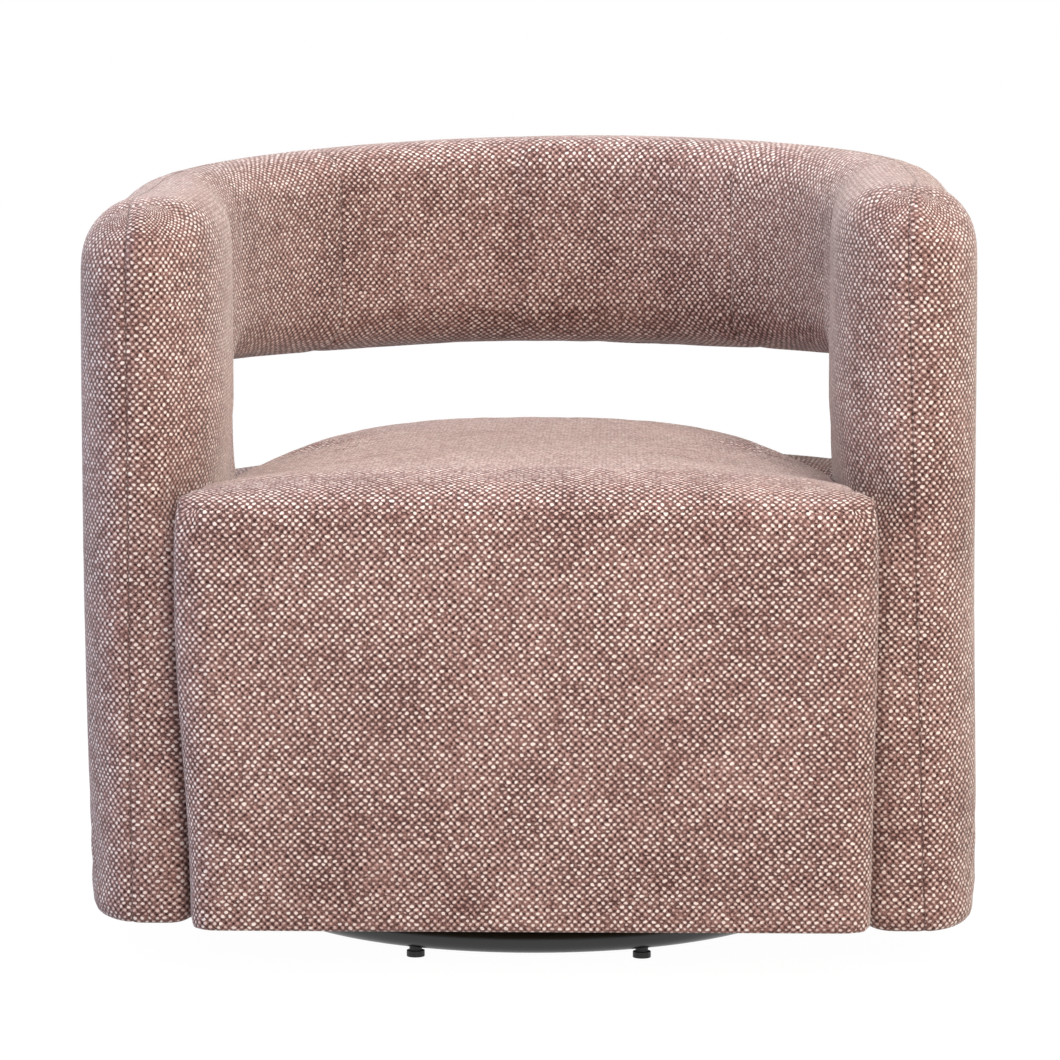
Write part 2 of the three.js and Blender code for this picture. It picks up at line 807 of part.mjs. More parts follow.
// Side profile of a lower bracket: a base with a raised step at each end that carries a rock stop
const rockDrop = (bracketLength / 2) * Math.sin(radians(rockAngle));
const stopTop = upperBracketBottom - rockDrop - stopFreeTravel;
const stepTop = stopTop - stopHeight - seatGap;
const stepLength = 2 * (stopRadius + bracketThickness / 2);
const stopY = bracketLength / 2 - stopInset;

function sideProfile(points, x, width) {
  const shape = new THREE.Shape();
  points.forEach(([y, z], number) => {
    if (number === 0) {
      shape.moveTo(y, z);
    } else {
      shape.lineTo(y, z);
    }
  });
  shape.closePath();
  const geometry = new THREE.ExtrudeGeometry(shape, { depth: width, bevelEnabled: false });
  geometry.rotateY(Math.PI / 2);
  geometry.rotateX(Math.PI / 2);
  geometry.translate(x - width / 2, 0, 0);
  return geometry;
}

const bracketStep = bracketEnd - stepLength;
const lowerProfile = [
  [-bracketStep, lowerBracketBottom],
  [bracketStep, lowerBracketBottom],
  [bracketStep, stepTop - bracketThickness],
  [bracketEnd, stepTop - bracketThickness],
  [bracketEnd, stepTop],
  [bracketStep - bracketThickness, stepTop],
  [bracketStep - bracketThickness, lowerBracketTop],
  [-bracketStep + bracketThickness, lowerBracketTop],
  [-bracketStep + bracketThickness, stepTop],
  [-bracketEnd, stepTop],
  [-bracketEnd, stepTop - bracketThickness],
  [-bracketStep, stepTop - bracketThickness],
];

const cupInner = springRadius + springWire / 2 + runningClearance;
const cupOuter = cupInner + cupWall;

function cup(x, y, from, to) {
  const wall = turned([
    [cupInner, from],
    [cupOuter, from],
    [cupOuter, to],
    [cupInner, to],
    [cupInner, from],
  ], 24);
  wall.translate(x, y, 0);
  return wall;
}

function coilSpring(x, y) {
  const stepsPerTurn = 8;
  const points = [];
  const low = springBottom + springWire / 2;
  const rise = springHeight - springWire;
  const steps = springTurns * stepsPerTurn;
  for (let i = 0; i <= steps; i += 1) {
    const turn = (i / stepsPerTurn) * Math.PI * 2;
    points.push(new THREE.Vector3(
      x + springRadius * Math.cos(turn), y + springRadius * Math.sin(turn), low + rise * i / steps,
    ));
  }
  return tubeAlong(points, springWire / 2, 5, steps);
}

const springGap = (springHeight - springWire) / springTurns - springWire;
console.log(`least gap between the turns of a rocker spring: ${springGap.toFixed(2)} mm`);

// The mount rails stand on the front and rear base boards
const mountRailFrontY = frameFrontY + deckFrontDepth - mountRailFoot;
const mountRailRearY = wellRearY + mountRailFoot;

for (const [word, side] of [['left', -1], ['right', 1]]) {
  const x = side * bracketX;
  const lowerCups = [-1, 1].map((end) => (
    cup(x, end * springY, lowerBracketTop - bracketThickness / 2, lowerBracketTop + cupHeight)
  ));
  const upperCups = [-1, 1].map((end) => (
    cup(x, end * springY, upperBracketBottom - cupHeight, upperBracketBottom + bracketThickness / 2)
  ));
  const lower = join(sideProfile(lowerProfile, x, bracketWidth), ...lowerCups);
  addPiece(`spring_bracket_lower_${word}`, lower, zincSteel);
  const upper = join(block(
    x - bracketWidth / 2, x + bracketWidth / 2, -bracketEnd, bracketEnd, upperBracketBottom, upperBracketTop,
  ), ...upperCups);
  addPiece(`spring_bracket_upper_${word}`, upper, zincSteel);
  for (const [place, end] of [['front', -1], ['rear', 1]]) {
    addPiece(`rocker_spring_${place}_${word}`, coilSpring(x, end * springY), springSteel);
    addPiece(`rock_stop_${place}_${word}`, upright(
      stopRadius, stepTop + seatGap, stepTop + seatGap + stopHeight, x, end * stopY, 16,
    ), rubber);
  }
  const railProfile = [
    [mountRailFrontY, boardTop + seatGap],
    [mountRailFrontY + mountRailFoot, boardTop + seatGap],
    [mountRailFrontY + mountRailFoot + mountRailHeight, mountRailBottom],
    [mountRailRearY - mountRailFoot - mountRailHeight, mountRailBottom],
    [mountRailRearY - mountRailFoot, boardTop + seatGap],
    [mountRailRearY, boardTop + seatGap],
    [mountRailRearY, mountRailTop],
    [mountRailFrontY, mountRailTop],
  ];
  addPiece(`mount_rail_${word}`, sideProfile(railProfile, x, mountRailWidth), timber);
}

addPiece('well_cover', block(
  -bracketX - mountRailWidth / 2, bracketX + mountRailWidth / 2, -bracketEnd, bracketEnd,
  coverBottom, coverBottom + coverThickness,
), cambric);

export default chair;
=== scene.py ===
"""Swivel rocker: the woven barrel, the seat block and the steel base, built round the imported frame."""

import json
import math

import bmesh
import bpy
import numpy as np
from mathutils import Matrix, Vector


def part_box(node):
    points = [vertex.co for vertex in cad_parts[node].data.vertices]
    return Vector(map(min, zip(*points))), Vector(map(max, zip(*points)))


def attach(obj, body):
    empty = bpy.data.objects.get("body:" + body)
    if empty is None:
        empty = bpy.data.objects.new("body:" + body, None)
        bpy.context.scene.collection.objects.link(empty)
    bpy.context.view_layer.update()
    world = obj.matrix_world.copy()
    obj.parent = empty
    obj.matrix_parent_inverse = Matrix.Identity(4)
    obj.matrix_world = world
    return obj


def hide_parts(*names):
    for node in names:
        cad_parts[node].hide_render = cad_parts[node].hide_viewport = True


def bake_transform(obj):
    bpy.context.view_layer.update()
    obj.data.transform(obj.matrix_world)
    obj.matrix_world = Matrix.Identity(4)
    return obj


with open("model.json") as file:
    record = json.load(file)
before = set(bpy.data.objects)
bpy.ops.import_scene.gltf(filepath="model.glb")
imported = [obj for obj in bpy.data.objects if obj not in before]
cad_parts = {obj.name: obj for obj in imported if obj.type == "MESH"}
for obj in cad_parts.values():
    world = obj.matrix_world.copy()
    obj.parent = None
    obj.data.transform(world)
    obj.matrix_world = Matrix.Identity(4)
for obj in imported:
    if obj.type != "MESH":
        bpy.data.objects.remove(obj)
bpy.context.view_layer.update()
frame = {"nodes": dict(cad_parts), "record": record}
MM = 0.001

# Barrel shell, read from the frame
ARM_LOW, ARM_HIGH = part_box("arm_pad_right")
BACK_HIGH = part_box("lower_back_pad")[1]
RAIL_LOW, RAIL_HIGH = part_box("back_rail_pad")
OUTER = ARM_HIGH.x
SHELL = 100 * MM
MIDDLE = OUTER - SHELL / 2
INNER = OUTER - SHELL
ARM_FRONT = ARM_LOW.y
CENTRE_Y = BACK_HIGH.y - OUTER
STRAIGHT = CENTRE_Y - ARM_FRONT
HEM = ARM_LOW.z
SILL = BACK_HIGH.z
RAIL_BOTTOM = RAIL_LOW.z
BACK_TOP = RAIL_HIGH.z
WINDOW_MIDDLE = (SILL + RAIL_BOTTOM) / 2
ARM_TOP = 714 * MM
WINDOW_ANGLE = math.radians(12)
RAIL_SEAM_ANGLE = math.radians(48)
TOP_ROUND = 40 * MM
RAIL_ROUND = 44 * MM
REAR_ROUND = 28 * MM
HEM_ROUND = 12 * MM
NOSE_ROUND = 44 * MM
NOSE_DEPTH = 80 * MM
NOSE_OUTSIDE = 48 * MM
NOSE_INSIDE = 64 * MM
INSIDE_DEPTH = 125 * MM
NOSE_DROP = 54 * MM
WINDOW_ROUND = 24 * MM
TOP_SEAM = 10 * MM
SHELL_STEP = math.radians(3)
SEAM_FOOT = 14.1 * MM
SEAM_SLANT = 0.035
SEAM_REACH = 200 * MM

# How the covers stand off the frame's plain solids
OUT_STAND = 7.5 * MM
TOP_STAND = 5.5 * MM
RAIL_SAG = 7 * MM
HEM_SAG = 8.5 * MM
TOP_LEAN = 7 * MM
RAIL_LEAN = 4 * MM
HEM_TILT = 2.5 * MM
FRONT_STAND = 16 * MM
FRONT_FULL = 170 * MM
FRONT_FADE = 190 * MM
INNER_STAND = {-1: -5 * MM, 1: 3 * MM}
LOW_TUCK = {-1: 2 * MM, 1: 5 * MM}
LOW_INSIDE = {-1: 14 * MM, 1: 24 * MM}
LOW_DEPTH = {-1: 30 * MM, 1: 34 * MM}
SHOULDER_ROUND = {-1: 57 * MM, 1: 54 * MM}
HEM_LEAN = {-1: -3.5 * MM, 1: 5 * MM}
HEM_LEAN_FROM = 400 * MM
HEM_LEAN_SPAN = 330 * MM

# Seat block
BLOCK_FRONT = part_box("front_pad")[0].y
BLOCK_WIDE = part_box("front_pad")[1].x
BLOCK_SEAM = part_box("front_pad")[1].z
BLOCK_TUCK = {-1: 13 * MM, 1: 4 * MM}
TUCK_FROM = 350 * MM
TUCK_SPAN = 290 * MM
FRONT_GAP = 1 * MM
BLOCK_ROUND = 20 * MM
BLOCK_SAG = 4.5 * MM
ROLL_DEPTH = 70 * MM
ROLL_HEIGHT = 34 * MM
BLOCK_STAND = 4 * MM
CORNER_ROUND = 32 * MM
EDGE_ROUND = 10 * MM
BACK_ROUND = 34 * MM
BACK_FADE = 120 * MM
BRIM = 8 * MM
WRAP_BACK = 38 * MM
WRAP_WIDE = {-1: 7 * MM, 1: 9 * MM}
SEAT_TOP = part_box("seat_pad")[1].z - 10 * MM
SEAT_EDGE = SEAT_TOP - 36 * MM
FRONT_FALL = 5 * MM
SEAT_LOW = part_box("seat_pad")[0].z
SEAT_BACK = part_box("seat_pad")[1].y
BETWEEN_ARMS = INNER - 1.5 * MM

# Padding
VOXEL = 6 * MM
PADDING_FRAMES = 20
SHELL_CAP = 3 * MM
SEAT_CAP = 4 * MM
SEAM_DEPTH = 0.8 * MM
BLOCK_SEAM_DEPTH = 1.2 * MM
SEAM_HALF = 2.2 * MM
SEAM_HOLD = 7 * MM

# Weave
CLOTH_MAP = "cloth"
SEAM_MAP = "seam"
COLUMN = 7 * MM
ROW = 3.45 * MM

# Studio
FLOOR_REACH = 30
CHAIR_MIDDLE = Vector((0, 0, 0.4))


# Meshes


def new_piece(name, vertices, faces):
    mesh = bpy.data.meshes.new(name)
    mesh.from_pydata([tuple(v) for v in vertices], [], [tuple(f) for f in faces])
    piece = bpy.data.objects.new(name, mesh)
    bpy.context.scene.collection.objects.link(piece)
    return piece


def points_of(mesh):
    flat = np.empty(len(mesh.vertices) * 3, np.float32)
    mesh.vertices.foreach_get("co", flat)
    return flat.reshape(-1, 3).astype(float)


def set_points(mesh, points):
    mesh.vertices.foreach_set("co", points.astype(np.float32).ravel())
    mesh.update()


def normals_of(mesh):
    flat = np.empty(len(mesh.vertices) * 3, np.float32)
    mesh.vertex_normals.foreach_get("vector", flat)
    return flat.reshape(-1, 3).astype(float)


def loft(rings):
    """Vertices and faces of a closed skin over rings with the same number of points."""
    count = len(rings[0])
    vertices = [point for ring in rings for point in ring]
    faces = []
    for r in range(len(rings) - 1):
        for i in range(count):
            a = r * count + i
            b = r * count + (i + 1) % count
            faces.append((a, b, b + count, a + count))
    faces.append(tuple(reversed(range(count))))
    faces.append(tuple(range((len(rings) - 1) * count, len(rings) * count)))
    return vertices, faces


def joined(parts):
    vertices, faces = [], []
    for more, sides in parts:
        start = len(vertices)
        vertices += more
        faces += [tuple(start + i for i in side) for side in sides]
    return vertices, faces


def keep_result(piece):
    """The piece's mesh as its modifiers leave it, with the modifiers taken off."""
    graph = bpy.context.evaluated_depsgraph_get()
    result = bpy.data.meshes.new_from_object(piece.evaluated_get(graph))
    piece.modifiers.clear()
    old = piece.data
    piece.data = result
    bpy.data.meshes.remove(old)


def even_skin(piece, size):
    """One even skin of small squares over overlapping closed parts."""
    skin = piece.modifiers.new("skin", "REMESH")
    skin.mode = "VOXEL"
    skin.voxel_size = size
    soften = piece.modifiers.new("soften", "SMOOTH")
    soften.factor = 0.5
    soften.iterations = 3
    keep_result(piece)


def pad_out(piece, cap, held):
    """Swells the cover by cloth pressure. held gives 1 where frame or seam holds it, and 0 elsewhere."""
    start = points_of(piece.data)
    group = piece.vertex_groups.new(name="held")
    hold = held(start)
    for i in np.nonzero(hold > 0.02)[0]:
        group.add([int(i)], float(hold[i]), "REPLACE")
    cloth = piece.modifiers.new("padding", "CLOTH")
    cloth.settings.quality = 3
    cloth.settings.mass = 0.4
    cloth.settings.use_pressure = True
    cloth.settings.uniform_pressure_force = 4
    cloth.settings.effector_weights.gravity = 0
    cloth.settings.vertex_group_mass = "held"
    cloth.collision_settings.use_collision = False
    cloth.point_cache.frame_start = 1
    cloth.point_cache.frame_end = PADDING_FRAMES
    scene = bpy.context.scene
    for step in range(1, PADDING_FRAMES + 1):
        scene.frame_set(step)
    keep_result(piece)
    scene.frame_set(1)
    piece.vertex_groups.clear()
    moved = points_of(piece.data) - start
    length = np.linalg.norm(moved, axis=1, keepdims=True)
    share = np.tanh(length / cap) * cap / np.maximum(length, 1e-9)
    set_points(piece.data, start + moved * share)


def finer(piece):
    fine = piece.modifiers.new("finer", "SUBSURF")
    fine.levels = fine.render_levels = 1
    keep_result(piece)


# Curves


def smooth_step(share):
    share = min(1.0, max(0.0, share))
    return share * share * (3 - 2 * share)


def rounding(distance, radius):
    """How far a rounded edge stands in at a distance from its end."""
    reach = radius - min(radius, distance)
    return radius - math.sqrt(radius**2 - reach**2)


def round_end(depth, steps):
    """Distances from the tip of a rounded form, closer together near its sides."""
    return [depth * (1 - math.sin(turn)) for turn in np.linspace(0, math.pi / 2, steps)]


def past_edge(rise, reach, radius):
    """Distance over a rounded edge: straight up to it, round on it, and straight again beyond it."""
    turn = np.arctan2(np.maximum(rise, 0), np.maximum(reach, 1e-6))
    return np.where(rise > 0, radius * turn + np.maximum(0, -reach), rise)


# Barrel shell


def shell_place(side, along, offset):
    """A point's place from its side, its distance along the shell and its offset from the shell's middle."""
    radius = MIDDLE + offset
    if along <= STRAIGHT:
        return side * radius, ARM_FRONT + along
    turn = (along - STRAIGHT) / MIDDLE
    return side * radius * math.cos(turn), CENTRE_Y + radius * math.sin(turn)


def along_at(angle):
    return STRAIGHT + angle * MIDDLE


BACK_MIDDLE = along_at(math.pi / 2)
WINDOW_SIDE = along_at(WINDOW_ANGLE)


def shell_top(along):
    share = np.clip(along / BACK_MIDDLE, 0, 1)
    return ARM_TOP + (BACK_TOP - ARM_TOP) * share * share * (3 - 2 * share)


def wall_offset(side, facing, along, z):
    """Distance of a wall from the shell's middle: the arms differ a little, as stuffed ones do."""
    if facing > 0:
        return SHELL / 2 + OUT_STAND + HEM_LEAN[side] * smooth_step((HEM_LEAN_FROM - z) / HEM_LEAN_SPAN)
    above_seat = smooth_step((z - BLOCK_SEAM + 6 * MM) / (50 * MM))
    fullness = 1 - smooth_step((along - FRONT_FULL) / FRONT_FADE)
    stand = INNER_STAND[side] + (FRONT_STAND - INNER_STAND[side]) * fullness
    return SHELL / 2 + stand * above_seat - LOW_TUCK[side] * fullness * (1 - above_seat)


def nose_inset(side, facing, along, z):
    """How far a wall stands in at the arm's rounded front, where the seat block hides the low inner part."""
    if facing > 0:
        return NOSE_OUTSIDE * rounding(along / NOSE_DEPTH, 1)
    above_seat = smooth_step((z - BLOCK_SEAM + 50 * MM) / (80 * MM))
    low = LOW_INSIDE[side] * rounding(along / LOW_DEPTH[side], 1)
    high = NOSE_INSIDE * rounding(along / INSIDE_DEPTH, 1)
    return low + (high - low) * above_seat


def leaning(side, along, amount):
    """A difference in height between the two arms, shared out across the chair."""
    return amount * shell_place(side, along, 0)[0] / OUTER


def shell_section(side, along, bottom, top, inset=0, low_round=HEM_ROUND):
    """One padded section: a rounded upright shape across the shell."""
    ring = []
    drop = NOSE_DROP * rounding(along / NOSE_DEPTH, 1)
    top = top + TOP_STAND - drop + leaning(side, along, TOP_LEAN)
    shoulder = SHOULDER_ROUND[side] + (TOP_ROUND - SHOULDER_ROUND[side]) * smooth_step(along / BACK_MIDDLE)
    for facing, high_round in ((1, shoulder), (-1, TOP_ROUND)):
        wall = []
        for turn in np.radians(np.linspace(0, 90, 7)):
            z = bottom + low_round * (1 - math.cos(turn))
            wall.append((low_round * (1 - math.sin(turn)), z))
        wall += [(0, z) for z in np.linspace(bottom + low_round, top - high_round, 12)[1:-1]]
        for turn in np.radians(np.linspace(90, 0, 8)):
            wall.append((high_round * (1 - math.sin(turn)), top - high_round * (1 - math.cos(turn))))
        for tuck, z in wall if facing > 0 else reversed(wall):
            inward = inset + tuck + nose_inset(side, facing, along, z)
            half = max(2 * MM, wall_offset(side, facing, along, z) - inward)
            ring.append((*shell_place(side, along, facing * half), z))
    return ring if side > 0 else ring[::-1]


def rail_underside(along):
    """Height of the rail's lower edge, rounded down to the arm at the window's upper corner."""
    return RAIL_BOTTOM - rounding(max(0.0, along - WINDOW_SIDE), WINDOW_ROUND)


def hem(side, along):
    return HEM - HEM_SAG - leaning(side, along, HEM_TILT)


def angle_places(start, end):
    count = max(2, round((end - start) / SHELL_STEP) + 1)
    return [along_at(a) for a in np.linspace(start, end, count)]


def arm_parts(side):
    """The arm up to the window, the rail from there to the middle of the back, and the wall below it."""
    nose = reversed(round_end(NOSE_DEPTH, 14))
    plain = (*nose, *np.linspace(NOSE_DEPTH, STRAIGHT, 12)[1:], along_at(WINDOW_ANGLE / 2))
    sections = [(s, 0) for s in plain]
    sections += [(WINDOW_SIDE - gap, rounding(gap, REAR_ROUND)) for gap in round_end(REAR_ROUND, 8)]
    panel = loft([shell_section(side, s, hem(side, s), shell_top(s), inset) for s, inset in sections])
    rail_places = [STRAIGHT, along_at(WINDOW_ANGLE / 2), WINDOW_SIDE]
    turns = np.radians(np.arange(15, 91, 15))
    rail_places += [WINDOW_SIDE + WINDOW_ROUND * (1 - math.cos(turn)) for turn in turns]
    rail_places += angle_places(WINDOW_ANGLE + 2 * SHELL_STEP, math.pi / 2 + SHELL_STEP)
    rail = []
    for s in rail_places:
        bottom = rail_underside(s) - RAIL_SAG + leaning(side, s, RAIL_LEAN)
        rail.append(shell_section(side, s, bottom, shell_top(s), low_round=RAIL_ROUND))
    low_places = [STRAIGHT] + angle_places(SHELL_STEP, math.pi / 2 + SHELL_STEP)
    low = loft([shell_section(side, s, hem(side, s), SILL - TOP_STAND) for s in low_places])
    return [panel, loft(rail), low]


def barrel_places(points):
    """Side, distance along the shell, offset from its middle and height of each point."""
    x, y, z = points.T
    side = np.where(x < 0, -1.0, 1.0)
    straight = y <= CENTRE_Y
    radius = np.hypot(x, y - CENTRE_Y)
    turn = np.arctan2(y - CENTRE_Y, np.abs(x))
    along = np.where(straight, y - ARM_FRONT, STRAIGHT + turn * MIDDLE)
    offset = np.where(straight, np.abs(x), radius) - MIDDLE
    return side, along, offset, z


def seam_offset(side, along, z):
    """Where the long seam runs: straight up the left arm, and leaning in up the front of the right one."""
    slant = SEAM_FOOT - z * SEAM_SLANT
    near = (1 - np.clip(along / SEAM_REACH, 0, 1)) ** 2 * (side > 0)
    return TOP_SEAM + (slant - TOP_SEAM) * near


def barrel_held(points):
    """The hem is fixed to the frame, and the seams are sewn tight."""
    side, along, offset, z = barrel_places(points)
    low = np.clip((HEM + 22 * MM - z) / (14 * MM), 0, 1)
    seam = np.exp(-(rail_seam_distance(along, z) / SEAM_HOLD) ** 2)
    top = np.exp(-((offset - seam_offset(side, along, z)) / SEAM_HOLD) ** 2) * (z > HEM + 20 * MM)
    return np.clip(np.maximum(low, np.maximum(0.25 * seam, 0.1 * top)), 0, 1)


def rail_seam_distance(along, z):
    distance = np.abs(along - along_at(RAIL_SEAM_ANGLE))
    return np.where(z > WINDOW_MIDDLE, distance, 1.0)


def sew(piece, distance, depth):
    """Draws the cover in along a seam; distance gives how far each point is from it."""
    points = points_of(piece.data)
    pull = depth * np.exp(-(distance(points) / SEAM_HALF) ** 2)
    set_points(piece.data, points - normals_of(piece.data) * pull[:, None])


def barrel_seams(points):
    side, along, offset, z = barrel_places(points)
    across = rail_seam_distance(along, z)
    return np.minimum(across, np.abs(offset - seam_offset(side, along, z)))


def map_cloth(piece, name, places):
    """Gives each corner two lengths on the cloth, which places works out from it and its face."""
    mesh = piece.data
    layer = mesh.uv_layers.new(name=name)
    count = len(mesh.loops)
    vertex = np.empty(count, np.int32)
    mesh.loops.foreach_get("vertex_index", vertex)
    totals = np.empty(len(mesh.polygons), np.int32)
    mesh.polygons.foreach_get("loop_total", totals)
    face = np.repeat(np.arange(len(totals)), totals)
    normal = np.empty(len(totals) * 3, np.float32)
    mesh.polygons.foreach_get("normal", normal)
    middle = np.empty(len(totals) * 3, np.float32)
    mesh.polygons.foreach_get("center", middle)
    middles = middle.reshape(-1, 3)[face].astype(float)
    normals = normal.reshape(-1, 3)[face].astype(float)
    u, v = places(points_of(mesh)[vertex], middles, normals)
    layer.uv.foreach_set("vector", np.stack([u, v], 1).astype(np.float32).ravel())


def barrel_cloth(corners, middles, normals):
    """The outer and the inner cover wrap over every edge, as far as the seam between them."""
    side, along, offset, z = barrel_places(corners)
    _, mid_along, mid_offset, mid_z = barrel_places(middles)
    outer = mid_offset > seam_offset(side, mid_along, mid_z)
    outward = np.where(outer, offset, -offset)
    beside = outward - (SHELL / 2 - NOSE_ROUND)
    ahead = NOSE_ROUND - along
    on_nose = mid_along < NOSE_ROUND
    on_corner = on_nose & (np.where(outer, mid_offset, -mid_offset) > SHELL / 2 - NOSE_ROUND)
    wall_run = NOSE_ROUND * math.pi / 2 - ahead
    run = np.where(on_nose, past_edge(beside, ahead, NOSE_ROUND), wall_run)
    radial = np.where(on_corner, np.hypot(beside, ahead), np.where(on_nose, ahead, beside))
    run = run + np.maximum(0, along - STRAIGHT) * (np.where(outer, OUTER, INNER) / MIDDLE - 1)
    past_window = along - (WINDOW_SIDE - REAR_ROUND)
    past_arm = mid_along > WINDOW_SIDE + 5 * MM
    beside_window = (mid_z > SILL - TOP_ROUND) & (mid_z < RAIL_BOTTOM + RAIL_ROUND) & ~past_arm
    turned = past_edge(past_window, outward - (SHELL / 2 - REAR_ROUND), REAR_ROUND) - past_window
    run = run + np.where(beside_window, turned, 0)
    over_window = past_arm & (mid_z < (RAIL_BOTTOM + BACK_TOP) / 2)
    on_rail = mid_z > WINDOW_MIDDLE
    edge = np.where(on_rail, shell_top(along), SILL) - TOP_ROUND
    edge = np.where(past_arm, edge, shell_top(along) - TOP_ROUND)
    height = edge + past_edge(z - edge, radial - (NOSE_ROUND - TOP_ROUND), TOP_ROUND)
    low_edge = RAIL_BOTTOM + RAIL_ROUND
    under = low_edge - past_edge(low_edge - z, outward - (SHELL / 2 - RAIL_ROUND), RAIL_ROUND)
    height = np.where(over_window & on_rail, under, height)
    rise = np.minimum(shell_top(along), shell_top(along_at(RAIL_SEAM_ANGLE))) - ARM_TOP
    on_arm = (mid_along < along_at(RAIL_SEAM_ANGLE)) & (on_rail | ~past_arm)
    height = height - np.where(on_arm, rise, 0)
    middle_run = NOSE_ROUND * math.pi / 2 - NOSE_ROUND + BACK_MIDDLE
    middle_run = middle_run + (BACK_MIDDLE - STRAIGHT) * (np.where(outer, OUTER, INNER) / MIDDLE - 1)
    return side * (middle_run - run), height


def barrel_seam_places(corners, middles, normals):
    """Distances from the long seam and from the back rail's end seams."""
    side, along, offset, z = barrel_places(corners)
    rail_end = np.where(middles[:, 2] > WINDOW_MIDDLE, along - along_at(RAIL_SEAM_ANGLE), 1.0)
    return offset - seam_offset(side, along, z), rail_end


def no_seam_places(corners, middles, normals):
    """A metre from any drawn seam."""
    return np.ones(len(corners)), np.ones(len(corners))


def split(piece, names, cuts, region):
    """Parts a finished cover at its seams into closed pieces. Each cut is a plane with its own reach."""
    made = []
    mesh = piece.data
    whole = bmesh.new()
    whole.from_mesh(mesh)
    for point, normal, crossed in cuts:
        faces = [f for f in whole.faces if crossed(f.calc_center_median())]
        geometry = list({v for f in faces for v in f.verts} | {e for f in faces for e in f.edges}) + faces
        bmesh.ops.bisect_plane(whole, geom=geometry, plane_co=point, plane_no=normal, dist=1e-6)
    for number, name in enumerate(names):
        part = whole.copy()
        away = [f for f in part.faces if region(f.calc_center_median()) != number]
        bmesh.ops.delete(part, geom=away, context="FACES")
        open_edges = [e for e in part.edges if e.is_boundary]
        for edge in open_edges:
            edge.smooth = False
        if open_edges:
            bmesh.ops.holes_fill(part, edges=open_edges, sides=0)
        for face in part.faces:
            face.smooth = True
        made.append(new_piece(name, [], []))
        part.to_mesh(made[-1].data)
        part.free()
    whole.free()
    bpy.data.objects.remove(piece)
    return made


def shell_cut(side, angle, low):
    """A cut across the shell at an angle round the back, in the rail or in the wall below the window."""

    def crossed(p):
        here = math.atan2(p.y - CENTRE_Y, side * p.x)
        return side * p.x > 0 and abs(here - angle) < math.radians(5) and (p.z < WINDOW_MIDDLE) == low

    return Vector((0, CENTRE_Y, 0)), Vector((-side * math.sin(angle), math.cos(angle), 0)), crossed


def make_barrel():
    barrel = new_piece("barrel", *joined(arm_parts(-1) + arm_parts(1)))
    even_skin(barrel, VOXEL)
    pad_out(barrel, SHELL_CAP, barrel_held)
    finer(barrel)
    sew(barrel, barrel_seams, SEAM_DEPTH)
    map_cloth(barrel, CLOTH_MAP, barrel_cloth)
    map_cloth(barrel, SEAM_MAP, barrel_seam_places)
    cuts = []
    for side in (-1, 1):
        cuts.append(shell_cut(side, RAIL_SEAM_ANGLE, low=False))
        cuts.append(shell_cut(side, WINDOW_ANGLE, low=True))

    def region(p):
        turn = math.atan2(p.y - CENTRE_Y, abs(p.x))
        if p.z < WINDOW_MIDDLE and turn > WINDOW_ANGLE:
            return 3
        if p.z >= WINDOW_MIDDLE and turn > RAIL_SEAM_ANGLE:
            return 2
        return 0 if p.x < 0 else 1

    names = ["arm_cover_left", "arm_cover_right", "back_rail_cover", "lower_back_cover"]
    return split(barrel, names, cuts, region)


# Seat block


def seat_top(x, y):
    """Height of the seat: nearly flat across at its front edge, and domed between the arms."""
    share = min(1.0, abs(x) / INNER)
    flat = SEAT_TOP - FRONT_FALL - 10 * MM * share**2
    domed = SEAT_EDGE + (SEAT_TOP - SEAT_EDGE) * (1 - share**2.9) ** 0.9
    back = smooth_step((y - ARM_FRONT) / (170 * MM))
    return flat + (domed - flat) * back


def block_side(side, z, y):
    """Half the block's width on one side: it tucks in towards the hem, and is narrower between the arms."""
    if y > ARM_FRONT - 2 * MM:
        return BETWEEN_ARMS
    return BLOCK_WIDE + BLOCK_STAND - BLOCK_TUCK[side] * smooth_step((TUCK_FROM - z) / TUCK_SPAN)


def block_section(y, bottom):
    """A section across the block, from its bottom up one side and over the top."""
    front = y - BLOCK_FRONT - FRONT_GAP
    roll = rounding(front / ROLL_DEPTH, 1) * ROLL_HEIGHT
    inset = rounding(front, BLOCK_ROUND)
    if y > CENTRE_Y:
        round_half = math.sqrt(max(0.0, BETWEEN_ARMS**2 - (y - CENTRE_Y) ** 2))
        inset = BETWEEN_ARMS - max(20 * MM, round_half)
    corner = EDGE_ROUND + CORNER_ROUND * (1 - smooth_step((front - 4 * MM) / (30 * MM)))
    ring = []
    for side in (1, -1):
        half = block_side(side, SEAT_TOP, y) - inset
        points = []
        for turn in np.radians(np.linspace(0, 90, 22)):
            x = half * math.sin(turn)
            if y > CENTRE_Y:
                radius = EDGE_ROUND + (BACK_ROUND - EDGE_ROUND) * smooth_step((y - CENTRE_Y) / BACK_FADE)
                fall = rounding(max(0, BETWEEN_ARMS - math.hypot(x, y - CENTRE_Y)), radius)
                points.append((x, max(SEAT_EDGE - BRIM, seat_top(x, y) - fall)))
            else:
                fall = rounding(half - x, min(corner, half))
                points.append((x, seat_top(x, y) - roll - fall))
        brim = points[-1][1]
        for z in np.linspace(brim, bottom, 24)[1:]:
            points.append((block_side(side, z, y) - inset, z))
        ring += [(side * x, y, z) for x, z in (reversed(points) if side > 0 else points)]
    return ring[::-1]


